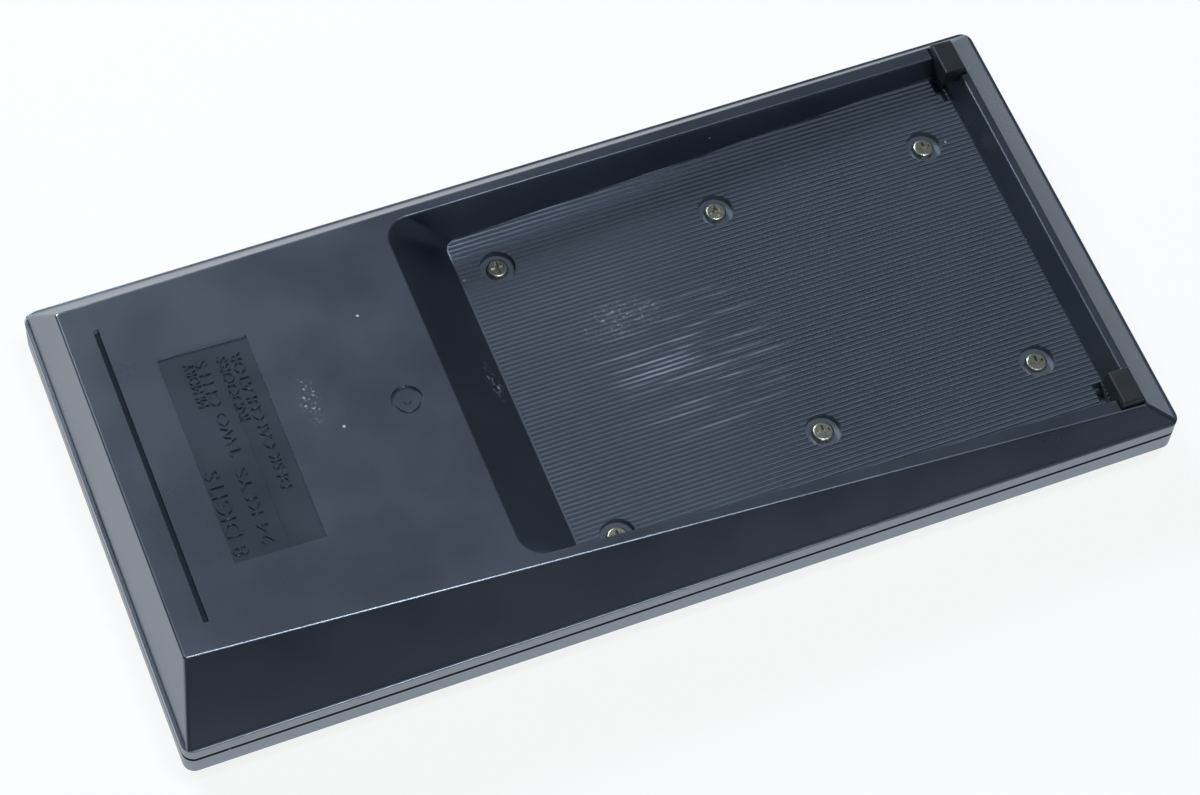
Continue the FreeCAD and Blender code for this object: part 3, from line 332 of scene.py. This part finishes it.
def screwFinish(name):
    material, tree, surface, where = startMaterial(name)
    tarnish = noise(tree, where, screwLook["tarnish"], 5.0)
    tones = (0.25, screwLook["deep"]), (0.5, screwLook["plate"]), (0.8, screwLook["bright"])
    colour = ramp(tree, tarnish, *tones)
    roughness = spread(tree, tarnish, 0.2, 0.8, screwLook["dull"], screwLook["smooth"])
    tree.links.new(colour, surface.inputs["Base Color"])
    tree.links.new(roughness, surface.inputs["Roughness"])
    surface.inputs["Metallic"].default_value = 1.0
    bump(tree, surface, tarnish, screwLook["pitting"])
    return material


windowLook = {
    "clear": 0.22,
    "border": (3.6 * mm, 2.2 * mm),
    "deep": (0.020, 0.021, 0.023),
    "pale": (0.030, 0.031, 0.034),
    "haze": 70.0,
    "smooth": 0.03,
    "dull": 0.07,
    "refraction": 1.49,
}


def windowFinish(name):
    # Clear over the display and printed dark round it
    material, tree, surface, where = startMaterial(name)
    low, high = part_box("lcd_panel")
    middle, half = (low + high) / 2, (high - low) / 2
    pane = {"middle": middle[:2], "half": [side - edge for side, edge in zip(half, windowLook["border"])]}
    parts = put(tree, "ShaderNodeSeparateXYZ", links={"Vector": where})
    masked = math2(tree, "MULTIPLY", inPatch(tree, parts, pane), 1.0 - windowLook["clear"])
    haze = noise(tree, where, windowLook["haze"], 3.0)
    colour = ramp(tree, haze, (0.3, windowLook["deep"]), (0.7, windowLook["pale"]))
    roughness = spread(tree, haze, 0.3, 0.8, windowLook["smooth"], windowLook["dull"])
    tree.links.new(colour, surface.inputs["Base Color"])
    tree.links.new(roughness, surface.inputs["Roughness"])
    tree.links.new(math2(tree, "SUBTRACT", 1.0, masked), surface.inputs["Alpha"])
    surface.inputs["IOR"].default_value = windowLook["refraction"]
    return material


boardLook = {
    "deep": (0.035, 0.14, 0.06),
    "pale": (0.06, 0.21, 0.09),
    "mottle": 120.0,
    "roughness": 0.32,
    "weave": 900.0,
    "weaveDepth": 0.008 * mm,
}


def boardFinish(name):
    material, tree, surface, where = startMaterial(name)
    weave = put(tree, "ShaderNodeTexChecker", values={"Scale": boardLook["weave"]}, links={"Vector": where})
    tone = noise(tree, where, boardLook["mottle"], 4.0)
    colour = ramp(tree, tone, (0.3, boardLook["deep"]), (0.7, boardLook["pale"]))
    tree.links.new(colour, surface.inputs["Base Color"])
    surface.inputs["Roughness"].default_value = boardLook["roughness"]
    bump(tree, surface, weave.outputs["Fac"], boardLook["weaveDepth"])
    return material


plasticLooks = {
    "lcd_glass": {"deep": (0.30, 0.33, 0.27), "pale": (0.36, 0.39, 0.32), "roughness": 0.25,
                  "grain": 500.0, "depth": 0.002 * mm},
    "strip_rubber": {"deep": (0.30, 0.11, 0.11), "pale": (0.42, 0.18, 0.17), "roughness": 0.7},
    "ribbon_film": {"deep": (0.36, 0.19, 0.03), "pale": (0.48, 0.28, 0.06), "roughness": 0.3},
    "chip_plastic": {"deep": (0.012, 0.012, 0.012), "pale": (0.025, 0.025, 0.025), "roughness": 0.55},
    "resistor_body": {"deep": (0.36, 0.26, 0.14), "pale": (0.48, 0.36, 0.21), "roughness": 0.35},
    "mat_rubber": {"deep": (0.40, 0.40, 0.38), "pale": (0.50, 0.50, 0.47), "roughness": 0.75},
    "cell_jacket": {"deep": (0.02, 0.07, 0.19), "pale": (0.04, 0.11, 0.26), "roughness": 0.22,
                    "grain": 800.0, "depth": 0.003 * mm},
    "tray_plastic": {"deep": (0.018, 0.018, 0.02), "pale": (0.032, 0.032, 0.035), "roughness": 0.5},
    "knob_plastic": {"deep": (0.52, 0.52, 0.49), "pale": (0.60, 0.60, 0.57), "roughness": 0.42},
    "foot_rubber": {"deep": (0.009, 0.011, 0.014), "pale": (0.018, 0.021, 0.025), "roughness": 0.55,
                    "grain": 1600.0, "depth": 0.03 * mm},
    "key_red": {"deep": (0.40, 0.055, 0.02), "pale": (0.48, 0.075, 0.03), "roughness": 0.4},
    "key_pale": {"deep": (0.50, 0.49, 0.44), "pale": (0.57, 0.56, 0.51), "roughness": 0.42},
    "key_dark": {"deep": (0.020, 0.022, 0.027), "pale": (0.036, 0.038, 0.045), "roughness": 0.42},
}
metalLooks = {
    "trim_metal": {"deep": (0.055, 0.058, 0.062), "pale": (0.13, 0.135, 0.14), "roughness": 0.36,
                   "stretch": (0.03, 1.0, 1.0), "scale": 2600.0},
    "capacitor_metal": {"deep": (0.4, 0.41, 0.43), "pale": (0.6, 0.61, 0.62), "roughness": 0.3,
                        "stretch": (1.0, 1.0, 0.05)},
    "contact_metal": {"deep": (0.5, 0.49, 0.45), "pale": (0.72, 0.71, 0.67), "roughness": 0.25,
                      "stretch": (1.0, 1.0, 0.2)},
}


def dressCadPieces():
    bySlot = {slot: plasticFinish(slot, **look) for slot, look in plasticLooks.items()}
    bySlot.update({slot: metalFinish(slot, **look) for slot, look in metalLooks.items()})
    bySlot["window_plastic"] = windowFinish("window_plastic")
    bySlot["board_laminate"] = boardFinish("board_laminate")
    bySlot["screw_metal"] = screwFinish("screw_metal")
    covers = {
        "rear_cover": casePlastic("rubbed_case_plastic_with_painted_shade", True),
        "front_cover": casePlastic("case_plastic", False),
    }
    for part in record["subparts"]:
        mesh = nodes[part["node"]].data
        material = covers.get(part["node"]) or bySlot[part["material_slot"]]
        mesh.materials.clear()
        mesh.materials.append(material)
    return bySlot


slotMaterials = dressCadPieces()
print("finishes:", len(slotMaterials), "and one for each cover")


# Print and moulded words: plain numbers, signs and everyday words

keyPrint = {
    "words": {
        "root": "\u221a", "memory_clear": "MC", "memory_recall": "MR", "memory_plus": "M+",
        "divide": "\u00f7",
        "percent": "%", "seven": "7", "eight": "8", "nine": "9", "multiply": "\u00d7",
        "sign": "\u00b1", "four": "4", "five": "5", "six": "6", "minus": "\u2212",
        "clear": "C", "one": "1", "two": "2", "three": "3", "plus": "+",
        "all_clear": "AC", "zero": "0", "point": ".", "equals": "=",
    },
    "height": 4.6 * mm,
    "smallHeight": 3.4 * mm,
    "depth": 0.02 * mm,
}
switchPrint = {
    "words": {"OFF": -7.2 * mm, "ON": 12.0 * mm},
    "height": 2.2 * mm,
    "depth": 0.02 * mm,
}
labelWords = {
    # Each row: the baseline's place along the case, its start and end across it, and its letter height
    "8 DIGITS": (-66.9 * mm, -18.2 * mm, -2.4 * mm, 2.5 * mm),
    "24 KEYS": (-62.6 * mm, -17.4 * mm, -3.2 * mm, 1.9 * mm),
    "MEMORY": (-64.4 * mm, 9.0 * mm, 17.4 * mm, 1.7 * mm),
    "TWO CELLS": (-62.3 * mm, -1.0 * mm, 17.4 * mm, 1.9 * mm),
    "INDOORS": (-59.0 * mm, 4.7 * mm, 17.0 * mm, 1.7 * mm),
    "DESK CALCULATOR": (-56.7 * mm, -8.9 * mm, 17.2 * mm, 1.8 * mm),
}
labelPanel = {
    "sink": 0.35 * mm,
    "relief": 0.24 * mm,
    "rulePlace": -60.4 * mm,
    "ruleStart": -18.1 * mm,
    "ruleEnd": 17.5 * mm,
    "ruleHalfWidth": 0.11 * mm,
}
capShare = 0.70  # height of a capital in the font's own size


def wordMesh(name, words, height, depth):
    # Letters as a plain mesh, with their baseline on X and their first letter at the origin
    curve = bpy.data.curves.new(name, "FONT")
    curve.body = words
    curve.size = height
    curve.extrude = depth
    curve.resolution_u = 3
    holder = bpy.data.objects.new(name, curve)
    bpy.context.scene.collection.objects.link(holder)
    ready = holder.evaluated_get(bpy.context.evaluated_depsgraph_get())
    mesh = bpy.data.meshes.new_from_object(ready)
    bpy.data.objects.remove(holder)
    bpy.data.curves.remove(curve)
    mesh.name = name
    return mesh


def span(mesh):
    low = Vector(min(vertex.co[axis] for vertex in mesh.vertices) for axis in range(3))
    high = Vector(max(vertex.co[axis] for vertex in mesh.vertices) for axis in range(3))
    return low, high


def addPiece(name, mesh, material, body):
    mesh.materials.clear()
    mesh.materials.append(material)
    piece = bpy.data.objects.new(name, mesh)
    bpy.context.scene.collection.objects.link(piece)
    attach(piece, body)
    return piece


def axesAt(place, right, up):
    turned = Matrix((right, up, right.cross(up))).transposed().to_4x4()
    return Matrix.Translation(place) @ turned


def facePlace(x, y, z):
    # The face is read from below, with the display at the top
    return axesAt(Vector((x, y, z)), Vector((0.0, -1.0, 0.0)), Vector((-1.0, 0.0, 0.0)))


def printKeys():
    for key, words in keyPrint["words"].items():
        low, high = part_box("key_" + key)
        height = keyPrint["height"] if len(words) == 1 else keyPrint["smallHeight"]
        mesh = wordMesh("print_" + key, words, height, keyPrint["depth"])
        first, last = span(mesh)
        mesh.transform(Matrix.Translation(-(first + last) / 2))
        mesh.transform(facePlace((low.x + high.x) / 2, (low.y + high.y) / 2, low.z - keyPrint["depth"]))
        dark = nodes["key_" + key].data.materials[0] == slotMaterials["key_pale"]
        slot = "key_dark" if dark else "key_pale"
        addPiece("print_" + key, mesh, slotMaterials[slot], key + "_cap")


def printSwitch():
    low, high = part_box("power_switch_knob")
    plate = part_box("trim_plate")[0].z
    for words, shift in switchPrint["words"].items():
        mesh = wordMesh("print_switch_" + words.lower(), words, switchPrint["height"], switchPrint["depth"])
        first, last = span(mesh)
        mesh.transform(Matrix.Translation(-(first + last) / 2))
        place = ((low.x + high.x) / 2, (low.y + high.y) / 2 + shift, plate - switchPrint["depth"])
        mesh.transform(facePlace(*place))
        addPiece(mesh.name, mesh, slotMaterials["key_pale"], "case")


def backPoint(x, y, lift):
    mount = next(mount for mount in record["mounts"] if mount["name"] == "back_platform")
    place = Vector(mount["pos_m"])
    normal = Vector(mount["axis"]).normalized()
    fall = (normal.x * (x - place.x) + normal.y * (y - place.y)) / normal.z
    return Vector((x, y, place.z - fall)) + normal * lift, normal


def mouldLabel():
    plastic = nodes["rear_cover"].data.materials[0]
    across = Vector((0.0, 1.0, 0.0))
    lift = labelPanel["relief"] - labelPanel["sink"]
    half = labelPanel["relief"] / 2
    for words, (x, start, end, height) in labelWords.items():
        name = "moulded_" + "_".join(words.lower().replace(".", "").split())
        mesh = wordMesh(name, words, height / capShare, half)
        first, last = span(mesh)
        mesh.transform(Matrix.Translation((-first.x, 0.0, 0.0)))
        mesh.transform(Matrix.Diagonal(((end - start) / (last.x - first.x), 1.0, 1.0, 1.0)))
        place, normal = backPoint(x, start, lift - half)
        mesh.transform(axesAt(place, across, normal.cross(across)))
        addPiece(name, mesh, plastic, "case")
    wide = labelPanel["ruleHalfWidth"]
    corners = []
    for level in (lift - labelPanel["relief"], lift):
        for x, y in ((-wide, "ruleStart"), (wide, "ruleStart"), (wide, "ruleEnd"), (-wide, "ruleEnd")):
            corners.append(backPoint(labelPanel["rulePlace"] + x, labelPanel[y], level)[0])
    sides = [(i, (i + 1) % 4, 4 + (i + 1) % 4, 4 + i) for i in range(4)]
    mesh = bpy.data.meshes.new("label_rule")
    mesh.from_pydata(corners, [], [(3, 2, 1, 0), (4, 5, 6, 7)] + sides)
    addPiece("label_rule", mesh, plastic, "case")


# Unlit digits of the display, one seven-bar digit repeated along a line

displayDigits = {
    "Digit Height": 9.0 * mm,
    "Digit Width": 4.6 * mm,
    "Bar": 0.9 * mm,
    "Pitch": 6.9 * mm,
    "Count": 8,
    "gap": 0.02 * mm,
}
unlitInk = {
    "deep": (0.20, 0.225, 0.18),
    "pale": (0.25, 0.275, 0.225),
    "mottle": 300.0,
    "roughness": 0.35,
}


def ghostInk():
    material, tree, surface, where = startMaterial("unlit_ink")
    mottle = noise(tree, where, unlitInk["mottle"], 2.0)
    tone = ramp(tree, mottle, (0.3, unlitInk["deep"]), (0.7, unlitInk["pale"]))
    tree.links.new(tone, surface.inputs["Base Color"])
    surface.inputs["Roughness"].default_value = unlitInk["roughness"]
    return material


def digitTree(ink):
    tree = bpy.data.node_groups.new("seven_bar_digits", "GeometryNodeTree")
    for name in ("Digit Height", "Digit Width", "Bar", "Pitch"):
        tree.interface.new_socket(name, in_out="INPUT", socket_type="NodeSocketFloat")
    tree.interface.new_socket("Count", in_out="INPUT", socket_type="NodeSocketInt")
    tree.interface.new_socket("Geometry", in_out="OUTPUT", socket_type="NodeSocketGeometry")
    given = put(tree, "NodeGroupInput").outputs
    inner = math2(tree, "SUBTRACT", given["Digit Width"], given["Bar"])
    tall = math2(tree, "SUBTRACT", math2(tree, "MULTIPLY", given["Digit Height"], 0.5), given["Bar"])
    level = put(tree, "GeometryNodeMeshGrid", values={"Vertices X": 2, "Vertices Y": 2},
                links={"Size X": inner, "Size Y": given["Bar"]})
    upright = put(tree, "GeometryNodeMeshGrid", values={"Vertices X": 2, "Vertices Y": 2},
                  links={"Size X": given["Bar"], "Size Y": tall})
    digit = put(tree, "GeometryNodeJoinGeometry")
    bars = [(level, 0.0, row) for row in (-0.5, 0.0, 0.5)]
    bars += [(upright, side, row) for side in (-0.5, 0.5) for row in (-0.25, 0.25)]
    for bar, side, row in bars:
        x = math2(tree, "MULTIPLY", given["Digit Width"], side)
        y = math2(tree, "MULTIPLY", given["Digit Height"], row)
        place = put(tree, "ShaderNodeCombineXYZ", links={"X": x, "Y": y})
        moved = put(tree, "GeometryNodeTransform", links={"Geometry": bar.outputs["Mesh"],
                                                          "Translation": place.outputs[0]})
        tree.links.new(moved.outputs[0], digit.inputs[0])
    step = put(tree, "ShaderNodeCombineXYZ", links={"X": given["Pitch"]})
    line = put(tree, "GeometryNodeMeshLine", {"mode": "OFFSET"},
               links={"Count": given["Count"], "Offset": step.outputs[0]})
    copies = put(tree, "GeometryNodeInstanceOnPoints", links={"Points": line.outputs[0],
                                                              "Instance": digit.outputs[0]})
    real = put(tree, "GeometryNodeRealizeInstances", links={"Geometry": copies.outputs[0]})
    inked = put(tree, "GeometryNodeSetMaterial", values={"Material": ink},
                links={"Geometry": real.outputs[0]})
    put(tree, "NodeGroupOutput", links={"Geometry": inked.outputs[0]})
    return tree


def addDigits():
    ink = ghostInk()
    tree = digitTree(ink)
    holder = bpy.data.objects.new("digit_source", bpy.data.meshes.new("digit_source"))
    bpy.context.scene.collection.objects.link(holder)
    modifier = holder.modifiers.new("digits", "NODES")
    modifier.node_group = tree
    for item in tree.interface.items_tree:
        if item.in_out == "INPUT":
            modifier[item.identifier] = displayDigits[item.name]
    ready = holder.evaluated_get(bpy.context.evaluated_depsgraph_get())
    mesh = bpy.data.meshes.new_from_object(ready)
    mesh.name = "display_digits"
    bpy.data.objects.remove(holder)
    low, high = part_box("lcd_panel")
    first, last = span(mesh)
    mesh.transform(Matrix.Translation(-(first + last) / 2))
    mesh.transform(facePlace((low.x + high.x) / 2, (low.y + high.y) / 2, low.z - displayDigits["gap"]))
    addPiece("display_digits", mesh, ink, "case")


printKeys()
printSwitch()
mouldLabel()
addDigits()
print("print, label and display digits added")


# Stage: pale floor, soft lamps, camera

photoCamera = {
    "place": (-0.13491, -0.26113, 0.50427),
    "heading": 27.343,
    "dip": 59.611,
    "roll": 6.402,
    "lens": 104.573,
    "sensor": 36.0,
    "near": 0.01,
    "far": 20.0,
}
stageSizes = {
    "floorLow": (-0.55, -0.15),
    "floorHigh": (0.19, 0.60),
    "floorGap": (0.083, 0.039),
    "floorColour": (0.88, 0.89, 0.90),
    "floorGlow": 0.86,
}
softLamps = {
    "back_softbox": {
        "place": (-0.25, 0.95, 0.70), "size": 0.40, "power": 13.0, "colour": (0.90, 0.95, 1.0),
    },
    "top_softbox": {
        "place": (0.10, -0.22, 1.0), "size": 0.20, "power": 4.2, "colour": (0.90, 0.95, 1.0),
    },
    "corner_softbox": {
        "place": (-1.0, -0.54, 0.30), "size": 0.15, "power": 0.6, "colour": (0.95, 1.0, 0.98),
    },
    "face_softbox": {
        "place": (0.0, 0.0, -0.9), "size": 0.6, "power": 6.0, "colour": (1.0, 1.0, 1.0),
    },
}
surroundings = {
    "front": (0.046, 0.060, 0.085),
    "back": (0.077, 0.097, 0.124),
    "turnFrom": -0.9,
    "turnTo": 0.6,
}


def makeFloor():
    (left, front), (right, back) = stageSizes["floorLow"], stageSizes["floorHigh"]
    # No paper under the object, where it would shine into the face
    wide, deep = stageSizes["floorGap"]
    mesh = bpy.data.meshes.new("floor")
    corners = [(left, front, 0), (right, front, 0), (right, back, 0), (left, back, 0)]
    corners += [(-wide, -deep, 0), (wide, -deep, 0), (wide, deep, 0), (-wide, deep, 0)]
    mesh.from_pydata(corners, [], [(0, 1, 5, 4), (1, 2, 6, 5), (2, 3, 7, 6), (3, 0, 4, 7)])
    floor = bpy.data.objects.new("floor", mesh)
    bpy.context.scene.collection.objects.link(floor)
    material = bpy.data.materials.new("floor_paper")
    material.use_nodes = True
    tree = material.node_tree
    tree.nodes.clear()
    paper = put(tree, "ShaderNodeBsdfDiffuse", values={"Color": (*stageSizes["floorColour"], 1.0)})
    glow = put(tree, "ShaderNodeEmission", values={"Color": (1.0, 1.0, 1.0, 1.0), "Strength": 1.0})
    clear = put(tree, "ShaderNodeBsdfTransparent")
    path = put(tree, "ShaderNodeLightPath")
    seen = math2(tree, "MAXIMUM", path.outputs["Is Camera Ray"], path.outputs["Is Transmission Ray"])
    seen = math2(tree, "MAXIMUM", seen, path.outputs["Is Glossy Ray"])
    share = math2(tree, "MULTIPLY", seen, stageSizes["floorGlow"])
    lit = put(tree, "ShaderNodeMixShader", links={0: share, 1: paper.outputs[0], 2: glow.outputs[0]})
    below = put(tree, "ShaderNodeNewGeometry").outputs["Backfacing"]
    through = math2(tree, "MAXIMUM", below, path.outputs["Is Shadow Ray"])
    whole = put(tree, "ShaderNodeMixShader", links={0: through, 1: lit.outputs[0], 2: clear.outputs[0]})
    put(tree, "ShaderNodeOutputMaterial", links={"Surface": whole.outputs[0]})
    mesh.materials.append(material)


def makeLamps():
    for name, lamp in softLamps.items():
        data = bpy.data.lights.new(name, "AREA")
        data.shape = "SQUARE"
        data.size = lamp["size"]
        data.energy = lamp["power"]
        data.color = lamp["colour"]
        holder = bpy.data.objects.new(name, data)
        holder.location = lamp["place"]
        holder.rotation_euler = (-Vector(lamp["place"])).to_track_quat("-Z", "Y").to_euler()
        bpy.context.scene.collection.objects.link(holder)


def makeWorld():
    world = bpy.data.worlds.new("studio")
    world.use_nodes = True
    tree = world.node_tree
    tree.nodes.clear()
    direction = put(tree, "ShaderNodeTexCoord").outputs["Generated"]
    depth = put(tree, "ShaderNodeSeparateXYZ", links={"Vector": direction}).outputs["Y"]
    turn = spread(tree, depth, surroundings["turnFrom"], surroundings["turnTo"])
    tone = ramp(tree, turn, (0.0, surroundings["front"]), (1.0, surroundings["back"]))
    room = put(tree, "ShaderNodeBackground", links={"Color": tone})
    white = put(tree, "ShaderNodeBackground", values={"Color": (1.0, 1.0, 1.0, 1.0), "Strength": 1.0})
    seen = put(tree, "ShaderNodeLightPath").outputs["Is Camera Ray"]
    both = put(tree, "ShaderNodeMixShader", links={0: seen, 1: room.outputs[0], 2: white.outputs[0]})
    put(tree, "ShaderNodeOutputWorld", links={"Surface": both.outputs[0]})
    bpy.context.scene.world = world


def makeCamera():
    heading, dip, roll = (math.radians(photoCamera[key]) for key in ("heading", "dip", "roll"))
    ahead = Vector((math.sin(heading) * math.cos(dip), math.cos(heading) * math.cos(dip), -math.sin(dip)))
    level = Vector((math.cos(heading), -math.sin(heading), 0.0))
    right = level * math.cos(roll) + level.cross(ahead) * math.sin(roll)
    up = right.cross(ahead)
    data = bpy.data.cameras.new("photo_camera")
    data.sensor_fit = "HORIZONTAL"
    data.sensor_width = photoCamera["sensor"]
    data.lens = photoCamera["lens"]
    data.clip_start = photoCamera["near"]
    data.clip_end = photoCamera["far"]
    camera = bpy.data.objects.new("photo_camera", data)
    turn = Matrix((right, up, -ahead)).transposed().to_4x4()
    camera.matrix_world = Matrix.Translation(photoCamera["place"]) @ turn
    bpy.context.scene.collection.objects.link(camera)
    bpy.context.scene.camera = camera


makeFloor()
makeLamps()
makeWorld()
makeCamera()
bpy.context.scene.view_settings.view_transform = "Standard"
print("stage ready")
